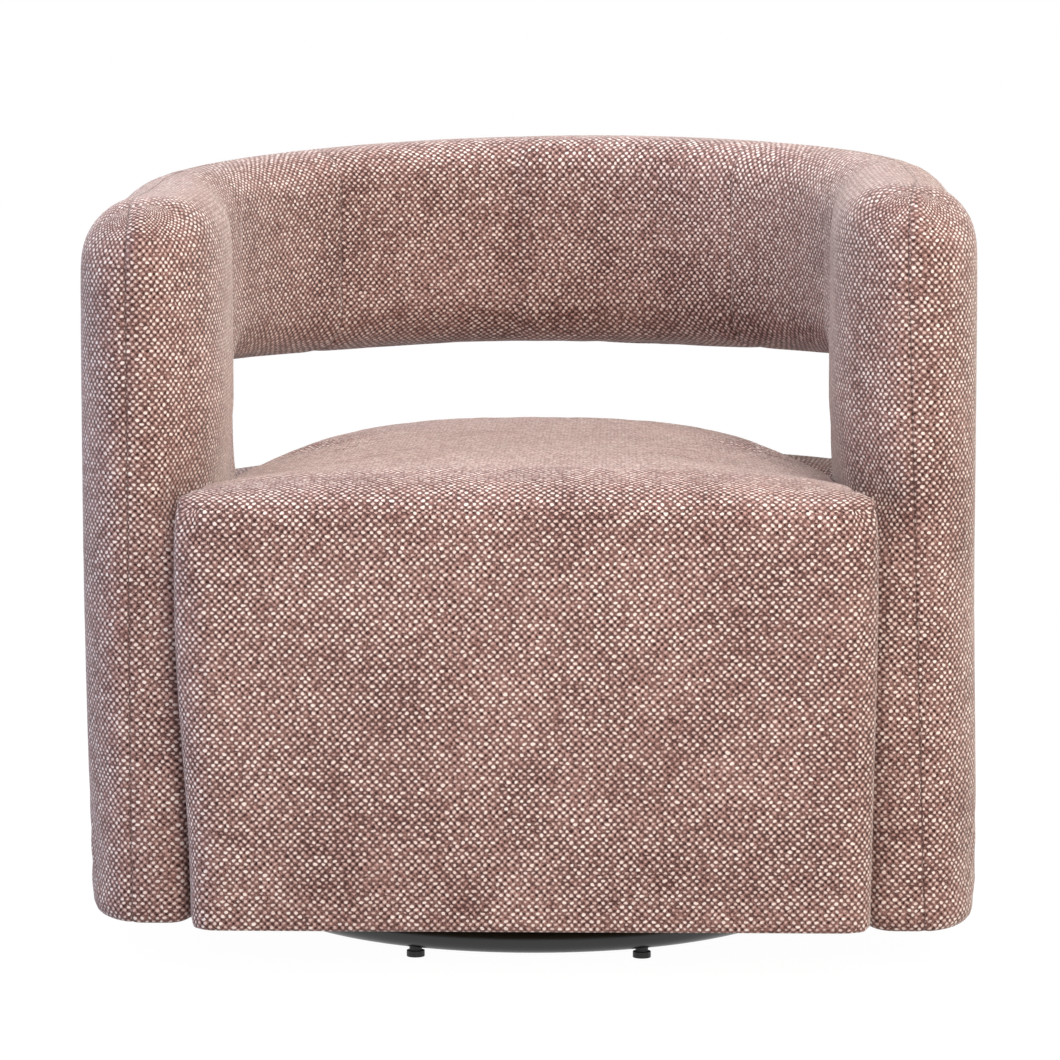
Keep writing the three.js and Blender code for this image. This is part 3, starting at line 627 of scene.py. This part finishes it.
def block_parts():
    """The seat between the arms, and the front part that reaches down to the hem."""
    turns = np.radians(np.linspace(0, 90, 16))
    roll = [BLOCK_FRONT + FRONT_GAP + ROLL_DEPTH * (1 - math.cos(turn)) for turn in turns]
    between = list(np.linspace(roll[-1] + 6 * MM, CENTRE_Y, 14))
    reach = SEAT_BACK - CENTRE_Y - 1 * MM
    round_back = [CENTRE_Y + reach * math.sin(turn) for turn in np.radians(np.arange(6, 88, 6))]
    seat = loft([block_section(y, SEAT_LOW + 1 * MM) for y in roll + between + round_back])
    slab_places = [y for y in roll if y < ARM_FRONT - 3 * MM] + [ARM_FRONT - 2.5 * MM]
    slab = loft([block_section(y, HEM - BLOCK_SAG) for y in slab_places])
    return [seat, slab, panel_return(-1), panel_return(1)]


def panel_return(side):
    """The front cover's return round one edge of the front panel, which closes the slot beside the arm."""
    inner, outer = side * (BETWEEN_ARMS - 6 * MM), side * (BETWEEN_ARMS + WRAP_WIDE[side])
    left, right = min(inner, outer), max(inner, outer)
    low, high = HEM - BLOCK_SAG + 2 * MM, BLOCK_SEAM - 10 * MM
    rings = []
    for y in (ARM_FRONT - 10 * MM, ARM_FRONT + WRAP_BACK):
        rings.append([(left, y, low), (right, y, low), (right, y, high), (left, y, high)])
    return loft(rings)


def block_held(points):
    """The hem, the sides between the arms and the front seam are held."""
    x, y, z = points.T
    low = np.clip((HEM + 24 * MM - z) / (16 * MM), 0, 1)
    beside_arm = (y > ARM_FRONT) & (z < BLOCK_SEAM)
    sides = np.clip((np.abs(x) - BETWEEN_ARMS + 10 * MM) / (10 * MM), 0, 1) * beside_arm
    seam = np.exp(-((z - BLOCK_SEAM) / SEAM_HOLD) ** 2) * (y < ARM_FRONT) * 0.9
    return np.clip(np.maximum(low, np.maximum(sides, seam)), 0, 1)


def block_seam(points):
    return np.where(points[:, 1] < ARM_FRONT, np.abs(points[:, 2] - BLOCK_SEAM), 1.0)


def block_cloth(corners, middles, normals):
    """The front cover runs straight up, and the top cover from its front seam over the roll to the back."""
    x, y, z = corners.T
    roll = (ROLL_DEPTH + ROLL_HEIGHT) / 2
    top = past_edge(z - BLOCK_SEAM, BLOCK_FRONT + roll - y, roll)
    top = np.where(y > BLOCK_FRONT + roll, roll * math.pi / 2 + y - BLOCK_FRONT - roll, top)
    above = middles[:, 2] > BLOCK_SEAM
    corner_x = BLOCK_WIDE - BLOCK_ROUND
    corner_y = BLOCK_FRONT + BLOCK_ROUND
    over = np.abs(x) - corner_x
    turn = np.arctan2(np.maximum(over, 0), np.maximum(corner_y - y, 1e-6)) * BLOCK_ROUND
    side_run = corner_x + np.where(y > corner_y, BLOCK_ROUND * math.pi / 2 + y - corner_y, turn)
    wrapped = np.where(over > 0, side_run, np.abs(x)) * np.sign(x)
    facing_side = (np.abs(normals[:, 0]) > 0.6) & (np.abs(middles[:, 0]) > corner_x)
    u = np.where(above & ~facing_side, x, wrapped)
    v = np.where(above & ~facing_side, BLOCK_SEAM + top + ROW / 2, z)
    radius = np.hypot(x, y - CENTRE_Y)
    over_back = np.maximum(0, radius - BETWEEN_ARMS + BACK_ROUND)
    around_edge = BACK_ROUND * np.arctan2(over_back, np.maximum(0, z - SEAT_TOP + BACK_ROUND))
    behind = np.clip((y - CENTRE_Y) / BACK_FADE, 0, 1)
    down = np.maximum(0, SEAT_EDGE - z) * np.clip((y - CENTRE_Y) / (10 * MM), 0, 1)
    longer = (np.maximum(0, around_edge - over_back) * behind + down) / np.maximum(radius, BACK_ROUND)
    return u * (1 + longer), v + np.maximum(0, y - CENTRE_Y) * longer


def make_block():
    block = new_piece("block", *joined(block_parts()))
    even_skin(block, VOXEL)
    pad_out(block, SEAT_CAP, block_held)
    finer(block)
    sew(block, block_seam, BLOCK_SEAM_DEPTH)
    map_cloth(block, CLOTH_MAP, block_cloth)
    map_cloth(block, SEAM_MAP, no_seam_places)
    between = ARM_FRONT + WRAP_BACK + 4 * MM

    def crossed(p):
        return p.y < between and abs(p.z - BLOCK_SEAM) < 12 * MM

    def region(p):
        return 1 if p.y < between and p.z < BLOCK_SEAM else 0

    cuts = [(Vector((0, 0, BLOCK_SEAM)), Vector((0, 0, 1)), crossed)]
    return split(block, ["seat_cover", "front_cover"], cuts, region)


# Finishes


def linear(red, green, blue):
    """A colour given as it looks on a screen, from 0 to 255, in the renderer's own values."""
    share = [c / 255 for c in (red, green, blue)]
    return (*[c / 12.92 if c <= 0.04045 else ((c + 0.055) / 1.055) ** 2.4 for c in share], 1)


def math_on(operation, reflected=False):
    """A method that adds a Math node over a value and another, the other first where it is reflected."""

    def add_node(value, other):
        pair = (other, value) if reflected else (value, other)
        return value.nodes.node("ShaderNodeMath", {"operation": operation}, *pair)

    return add_node


class Value:
    """A value that changes over a surface. Operators on it add Math nodes."""

    def __init__(self, nodes, socket):
        self.nodes = nodes
        self.socket = socket

    def math(self, operation, *others):
        return self.nodes.node("ShaderNodeMath", {"operation": operation}, self, *others)

    __add__ = __radd__ = math_on("ADD")
    __sub__ = math_on("SUBTRACT")
    __rsub__ = math_on("SUBTRACT", reflected=True)
    __mul__ = __rmul__ = math_on("MULTIPLY")
    __truediv__ = math_on("DIVIDE")
    __rtruediv__ = math_on("DIVIDE", reflected=True)

    def held_in(self):
        """The value kept from 0 to 1."""
        return self.nodes.node("ShaderNodeClamp", {}, self)


class Nodes:
    """The nodes of a material or of the world."""

    def __init__(self, owner, shader):
        owner.use_nodes = True
        self.tree = owner.node_tree
        self.shader = self.tree.nodes[shader]

    def make(self, kind, settings, *values, **named):
        """A node of a kind, with its settings first, then its sockets by place or by name."""
        node = self.tree.nodes.new(kind)
        for setting, value in settings.items():
            setattr(node, setting, value)
        for key, value in [*enumerate(values), *named.items()]:
            socket = node.inputs[key.replace("_", " ") if isinstance(key, str) else key]
            if isinstance(value, Value):
                self.tree.links.new(value.socket, socket)
            elif value is not None:
                socket.default_value = value
        return node

    def node(self, kind, settings, *values, out=0, **named):
        return Value(self, self.make(kind, settings, *values, **named).outputs[out])

    def stretched(self, place, scales):
        return self.node("ShaderNodeVectorMath", {"operation": "MULTIPLY"}, place, scales)

    def mix(self, share, first, second):
        plain_numbers = [None] * 5
        return self.node("ShaderNodeMix", {"data_type": "RGBA"}, share, *plain_numbers, first, second, out=2)

    def parts(self, vector):
        return [Value(self, output) for output in self.make("ShaderNodeSeparateXYZ", {}, vector).outputs]

    def noise(self, place, scale, detail=2.0, roughness=0.5):
        sockets = {"Vector": place, "Scale": scale, "Detail": detail, "Roughness": roughness}
        return self.node("ShaderNodeTexNoise", {}, **sockets)

    def object_place(self):
        return self.node("ShaderNodeTexCoord", {}, out="Object")

    def bump(self, height, strength, distance):
        return self.node("ShaderNodeBump", {}, Height=height, Strength=strength, Distance=distance)

    def seen_plainly(self):
        """1 for the camera's rays and those by way of metal or glass, and 0 for the light on the chair."""
        rays = self.make("ShaderNodeLightPath", {})
        camera, mirrored, through = [
            Value(self, rays.outputs[f"Is {kind} Ray"]) for kind in ("Camera", "Glossy", "Transmission")
        ]
        return camera.math("MAXIMUM", mirrored).math("MAXIMUM", through)

    def show(self, shader):
        """Puts a shader on the surface."""
        output = next(node for node in self.tree.nodes if node.type.startswith("OUTPUT"))
        self.tree.links.new(shader.socket, output.inputs["Surface"])


class Finish(Nodes):
    """A material under construction."""

    def __init__(self, name, **constants):
        self.material = bpy.data.materials.new(name)
        super().__init__(self.material, "Principled BSDF")
        for socket, value in constants.items():
            self.shader.inputs[socket.replace("_", " ")].default_value = value

    def feed(self, **sockets):
        for socket, value in sockets.items():
            self.tree.links.new(value.socket, self.shader.inputs[socket.replace("_", " ")])
        return self.material


def weave_finish():
    """Thick two-tone basket weave: cream floats on a mauve ground, with lighter and warmer patches, and
    painted shade in a thin dark line along the seams.
    """
    f = Finish("mauve_weave", Roughness=0.92, Specular_IOR_Level=0.25, Sheen_Weight=0.62,
               Sheen_Roughness=0.4, Sheen_Tint=linear(240, 226, 220))
    cloth = f.node("ShaderNodeUVMap", {"uv_map": CLOTH_MAP})
    body = f.object_place()
    wander = f.noise(cloth, 110, 2.0)
    drift = f.noise(cloth, 140, 2.0)
    u, v = f.parts(cloth)[:2]
    across_seam, along_rail = f.parts(f.node("ShaderNodeUVMap", {"uv_map": SEAM_MAP}))[:2]
    seam = across_seam.math("ABSOLUTE").math("MINIMUM", along_rail.math("ABSOLUTE"))
    # Painted shade: a thin dark line along each seam stands in for the shade in the seam's groove, which the
    # mesh is too coarse to show. The same mask also sinks the bump.
    seam_groove_and_shade = (1 - seam / (1.5 * MM)).held_in()
    u = (u + (wander - 0.5) * (5 * MM)) / COLUMN
    v = (v + (drift - 0.5) * (3.2 * MM)) / ROW
    row = v.math("FLOOR")
    shifted = u + row.math("FLOORED_MODULO", 2.0) * 0.5
    column = shifted.math("FLOOR")
    cell = f.node("ShaderNodeCombineXYZ", {}, column, row)
    luck = f.node("ShaderNodeTexWhiteNoise", {"noise_dimensions": "2D"}, Vector=cell)
    elsewhere = f.node("ShaderNodeVectorMath", {"operation": "ADD"}, cell, (7.3, 3.1, 5.7))
    second = f.node("ShaderNodeTexWhiteNoise", {"noise_dimensions": "3D"}, Vector=elsewhere)
    across = shifted - column - 0.5
    up = v - row - 0.5
    reach = 0.82 + luck * 0.28
    aside = (across + (second - 0.5) * 0.16) * 3.7 / reach
    above = (up + (luck - 0.5) * 0.18) * 2.2 / reach
    float_height = 1 - (aside * aside + above * above)
    beside = (0.5 - across.math("ABSOLUTE")) * 4.2
    level = up * 2.1
    gap_depth = 1 - (beside * beside + level * level)
    float_mask = (float_height * 1.7).held_in()
    gap_mask = (gap_depth * (second * 2.2 - 0.35)).held_in()
    strands = []
    for slant in (42, -42):
        settings = {"rotation_type": "Z_AXIS"}
        turned = f.node("ShaderNodeVectorRotate", settings, cloth, Angle=math.radians(slant))
        strands.append(f.noise(f.stretched(turned, (150, 560, 1)), 1.0, 2.0))
    strand = strands[0].math("MAXIMUM", strands[1])
    patch = f.noise(body, 9, 3.0, 0.6)
    warmth = f.noise(body, 17, 2.0)
    streak = f.noise(f.stretched(cloth, (14, 150, 1)), 1.0, 2.0)
    mottle = f.noise(body, 55, 2.0)
    shade = (patch - 0.5) * 0.8 + (streak - 0.5) * 0.8 + (mottle - 0.5) * 0.9
    lightness = (luck * 0.75 + shade + 0.2).held_in()
    cream = f.mix(lightness, linear(200, 158, 151), linear(255, 240, 234))
    threads = (strand * 2.4 - 0.95 + (warmth - 0.5) * 0.6 + (second - 0.5) * 0.3 + shade * 0.5).held_in()
    mauve = f.mix(threads, linear(90, 60, 57), linear(190, 146, 138))
    gap = f.mix(strand, linear(36, 20, 19), linear(78, 49, 45))
    ground = f.mix(gap_mask, mauve, gap)
    # The dark colour along the seams is painted shade from the seam's groove, not a darker thread.
    colour = f.mix(seam_groove_and_shade * 0.7, f.mix(float_mask, ground, cream), linear(66, 42, 40))
    fibre = f.noise(body, 1400, 2.0)
    height = float_mask * 0.8 - gap_mask * 0.4 + strand * 0.5 + fibre * 0.35 - seam_groove_and_shade * 0.8
    relief = f.bump(height, 0.7, 1.1 * MM)
    return f.feed(Base_Color=colour, Normal=relief)


def steel_finish(name, colour, roughness, metallic, coat=0.0):
    """Steel with a faint grain, a little duller where it is handled."""
    f = Finish(name, Metallic=metallic, Coat_Weight=coat, Coat_Roughness=0.25)
    body = f.object_place()
    grain = f.noise(body, 260, 4.0, 0.6)
    worn = f.noise(body, 22, 3.0)
    shade = tuple(c * 0.72 for c in colour[:3]) + (1,)
    tint = f.mix((worn * 1.3 - 0.2).held_in(), shade, colour)
    rough = roughness + (grain - 0.5) * 0.16 + (worn - 0.5) * 0.1
    return f.feed(Base_Color=tint, Roughness=rough, Normal=f.bump(grain, 0.12, 0.3 * MM))


def wood_finish(name, light, dark, rings_scale, stretch, layers=False):
    """Grain drawn out along one way; plywood adds the layers that show at its edges."""
    f = Finish(name, Roughness=0.7)
    body = f.object_place()
    light, dark = linear(*light), linear(*dark)
    drawn = f.stretched(body, stretch)
    figure = f.noise(drawn, rings_scale, 5.0, 0.62)
    fine = f.noise(drawn, rings_scale * 9, 3.0)
    share = (figure * 1.7 - 0.35 + (fine - 0.5) * 0.5).held_in()
    colour = f.mix(share, light, dark)
    height = figure * 0.6 + fine * 0.6
    if layers:
        layer = (f.parts(body)[2] * (2 * math.pi / (3.6 * MM))).math("SINE")
        edge = (layer * 0.5 + 0.5) * 0.35
        colour = f.mix(edge, colour, dark)
    return f.feed(Base_Color=colour, Roughness=0.62 + fine * 0.2, Normal=f.bump(height, 0.25, 0.4 * MM))


def moulded_finish(name, colour, roughness):
    """Fine-grained moulded plastic or rubber."""
    f = Finish(name)
    body = f.object_place()
    grain = f.noise(body, 900, 3.0)
    cloud = f.noise(body, 40, 2.0)
    shade = tuple(c * 0.8 for c in colour[:3]) + (1,)
    rough = roughness + (grain - 0.5) * 0.2
    return f.feed(
        Base_Color=f.mix(cloud, shade, colour), Roughness=rough, Normal=f.bump(grain, 0.15, 0.2 * MM))


def cambric_finish():
    """Thin black dust cloth with a fine dimpled face."""
    f = Finish("black_cambric", Roughness=0.95, Sheen_Weight=0.2)
    body = f.object_place()
    dots = f.node("ShaderNodeTexVoronoi", {}, Vector=body, Scale=700.0)
    cloud = f.noise(body, 30, 3.0)
    colour = f.mix((dots * 0.9 + cloud * 0.3).held_in(), linear(14, 14, 15), linear(46, 46, 48))
    return f.feed(Base_Color=colour, Normal=f.bump(dots, 0.3, 0.2 * MM))


def make_finishes():
    return {
        "weave": weave_finish(),
        "cambric": cambric_finish(),
        "plywood": wood_finish("birch_plywood", (214, 184, 138), (170, 128, 82), 16, (1, 6, 6), layers=True),
        "timber": wood_finish("pine_rail", (205, 168, 118), (150, 104, 62), 12, (6, 1, 6)),
        "black_steel": steel_finish("black_satin_steel", linear(16, 16, 15), 0.36, 0.0, 0.35),
        "zinc_steel": steel_finish("zinc_plate", linear(176, 178, 182), 0.36, 0.9),
        "spring_steel": steel_finish("spring_wire", linear(92, 92, 96), 0.34, 0.9),
        "acetal": moulded_finish("white_acetal", linear(232, 230, 222), 0.45),
        "rubber": moulded_finish("black_rubber", linear(30, 30, 31), 0.75),
        "glide_plastic": moulded_finish("black_glide", linear(22, 22, 22), 0.5),
    }


finishes = make_finishes()


def finish(piece, slot):
    piece.data.materials.clear()
    piece.data.materials.append(finishes[slot])


def dress(piece, slot, body, node):
    """Finishes a piece that takes a CAD solid's place, and sets it on its body."""
    finish(piece, slot)
    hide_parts(node)
    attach(piece, body)


# Base ring and rocker springs


def tube(line, radius, sides, closed=False):
    """A round tube along a line of points, with flat ends or closed on itself."""
    points = [Vector(p) for p in line]
    count = len(points)
    rings = []
    up = Vector((0, 0, 1))
    for i, point in enumerate(points):
        before = points[i - 1] if closed or i > 0 else point
        after = points[(i + 1) % count] if closed or i + 1 < count else point
        ahead = (after - before).normalized()
        across = ahead.cross(up).normalized()
        over = across.cross(ahead)
        rings.append([
            tuple(point + across * (radius * math.cos(t)) + over * (radius * math.sin(t)))
            for t in np.linspace(0, 2 * math.pi, sides, endpoint=False)
        ])
    vertices, faces = loft(rings)
    if closed:
        faces = faces[:-2]
        last = (count - 1) * sides
        faces += [(last + i, last + (i + 1) % sides, (i + 1) % sides, i) for i in range(sides)]
    return vertices, faces


def smooth_piece(name, vertices, faces):
    piece = new_piece(name, vertices, faces)
    bm = bmesh.new()
    bm.from_mesh(piece.data)
    bmesh.ops.recalc_face_normals(bm, faces=bm.faces)
    for face in bm.faces:
        face.smooth = len(face.verts) == 4
    bm.to_mesh(piece.data)
    bm.free()
    return piece


def make_ring():
    low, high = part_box("base_ring")
    radius = (high.z - low.z) / 2
    big = high.x - radius
    turns = np.linspace(0, 2 * math.pi, 192, endpoint=False)
    line = [(big * math.cos(t), big * math.sin(t), (low.z + high.z) / 2) for t in turns]
    ring = smooth_piece("ring_tube", *tube(line, radius, 32, closed=True))
    dress(ring, "black_steel", "base", "base_ring")


def make_rocker_springs():
    """Each spring spans the rock joint as a straight coil of wire between its two cups."""
    wire = 6.5 * MM / 2
    turns = 6
    for place in ("front_left", "front_right", "rear_left", "rear_right"):
        node = f"rocker_spring_{place}"
        low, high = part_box(node)
        centre = (low + high) / 2
        radius = (high.x - low.x) / 2 - wire
        steps = turns * 24
        line = []
        for i in range(steps + 1):
            turn = 2 * math.pi * i / 24
            z = low.z + wire + (high.z - low.z - 2 * wire) * i / steps
            line.append((centre.x + radius * math.cos(turn), centre.y + radius * math.sin(turn), z))
        spring = smooth_piece(f"coil_{place}", *tube(line, wire, 12))
        finish(spring, "spring_steel")
        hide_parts(node)
        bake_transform(spring)


def make_well_cover():
    """Cambric stretched over the mechanism well, with a little slack."""
    low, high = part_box("well_cover")
    middle = (low.z + high.z) / 2
    xs = np.linspace(low.x, high.x, 40)
    ys = np.linspace(low.y, high.y, 36)
    vertices = []
    for y in ys:
        for x in xs:
            inside = math.cos(math.pi * x / (high.x - low.x)) * math.cos(math.pi * y / (high.y - low.y))
            slack = 4 * MM * max(0.0, inside)
            vertices.append((x, y, middle + slack))
    faces = [
        (j * len(xs) + i, j * len(xs) + i + 1, (j + 1) * len(xs) + i + 1, (j + 1) * len(xs) + i)
        for j in range(len(ys) - 1) for i in range(len(xs) - 1)
    ]
    cloth = smooth_piece("well_cambric", vertices, faces)
    thick = cloth.modifiers.new("thick", "SOLIDIFY")
    thick.thickness = 0.6 * MM
    thick.offset = 0
    keep_result(cloth)
    dress(cloth, "cambric", "seat", "well_cover")


def dress_nodes():
    """The CAD pieces keep their shapes and get their finishes. Hard ones are shaded smooth between edges."""
    slots = {row["node"]: row["material_slot"] for row in frame["record"]["subparts"]}
    for name, node in frame["nodes"].items():
        finish(node, slots[name])
        if slots[name] not in ("weave", "cambric", "spring_steel"):
            for face in node.data.polygons:
                face.use_smooth = True
            node.data.set_sharp_from_angle(angle=math.radians(35))


# Studio


def make_floor():
    """A pale floor that looks white in the picture and keeps the chair's shadow."""
    corners = [(-FLOOR_REACH, -FLOOR_REACH, 0), (FLOOR_REACH, -FLOOR_REACH, 0)]
    corners += [(FLOOR_REACH, FLOOR_REACH, 0), (-FLOOR_REACH, FLOOR_REACH, 0)]
    floor = new_piece("floor", corners, [(0, 1, 2, 3)])
    f = Finish("pale_floor", Roughness=0.9, Base_Color=linear(190, 190, 190), Specular_IOR_Level=0.1)
    glow = f.node("ShaderNodeEmission", {}, Strength=1.11)
    plain = Value(f, f.shader.outputs[0])
    f.show(f.node("ShaderNodeMixShader", {}, f.seen_plainly() * 0.88, plain, glow))
    floor.data.materials.append(f.material)


def make_world():
    """White where it is seen, and a soft even light on the chair."""
    world = bpy.data.worlds.new("studio")
    bpy.context.scene.world = world
    w = Nodes(world, "Background")
    w.shader.inputs["Color"].default_value = (1, 1, 1, 1)
    w.shader.inputs["Strength"].default_value = 0.36
    white = w.node("ShaderNodeBackground", {}, Color=(1, 1, 1, 1), Strength=1.0)
    soft = Value(w, w.shader.outputs[0])
    w.show(w.node("ShaderNodeMixShader", {}, w.seen_plainly(), soft, white))


def softbox(name, place, size, power, colour):
    """A rectangular lamp that points at the middle of the chair."""
    lamp = bpy.data.lights.new(name, "AREA")
    lamp.shape = "RECTANGLE"
    lamp.size, lamp.size_y = size
    lamp.energy = power
    lamp.color = colour
    holder = bpy.data.objects.new(name, lamp)
    holder.location = place
    holder.rotation_euler = (CHAIR_MIDDLE - Vector(place)).to_track_quat("-Z", "Y").to_euler()
    bpy.context.scene.collection.objects.link(holder)


def make_lights():
    """A broad light above, a warm key in front, and a warm and a cool light from the sides."""
    softbox("top_light", (0.0, 0.1, 3.2), (2.4, 2.4), 84, (0.95, 0.98, 1.0))
    softbox("key_light", (0.95, -3.3, 1.7), (1.2, 1.6), 71, (1.0, 0.92, 0.81))
    softbox("warm_light", (3.0, -1.4, 1.2), (1.2, 1.8), 22, (1.0, 0.86, 0.7))
    softbox("cool_light", (-3.0, -0.6, 1.1), (1.4, 1.8), 37, (0.5, 0.62, 1.0))


def make_camera():
    """The photograph's camera: level with the top of the back, tipped a little down, just to the right."""
    camera = bpy.data.cameras.new("camera")
    camera.sensor_width = 36
    camera.lens = 132.8
    camera.clip_start = 0.1
    camera.clip_end = 100
    holder = bpy.data.objects.new("camera", camera)
    holder.location = (0.085, -3.84, 0.785)
    holder.rotation_euler = (math.radians(90 - 6.05), 0, math.radians(1.33))
    bpy.context.scene.collection.objects.link(holder)
    bpy.context.scene.camera = holder


make_camera()
make_lights()
make_floor()
make_world()
dress_nodes()
make_ring()
make_rocker_springs()
make_well_cover()

barrel_nodes = ("arm_pad_left", "arm_pad_right", "back_rail_pad", "lower_back_pad")
for cover, node in zip(make_barrel(), barrel_nodes):
    dress(cover, "weave", "seat", node)
seat_cover, front_cover = make_block()
dress(seat_cover, "weave", "seat", "seat_pad")
dress(front_cover, "weave", "seat", "front_pad")

bpy.context.scene.view_settings.view_transform = "Standard"
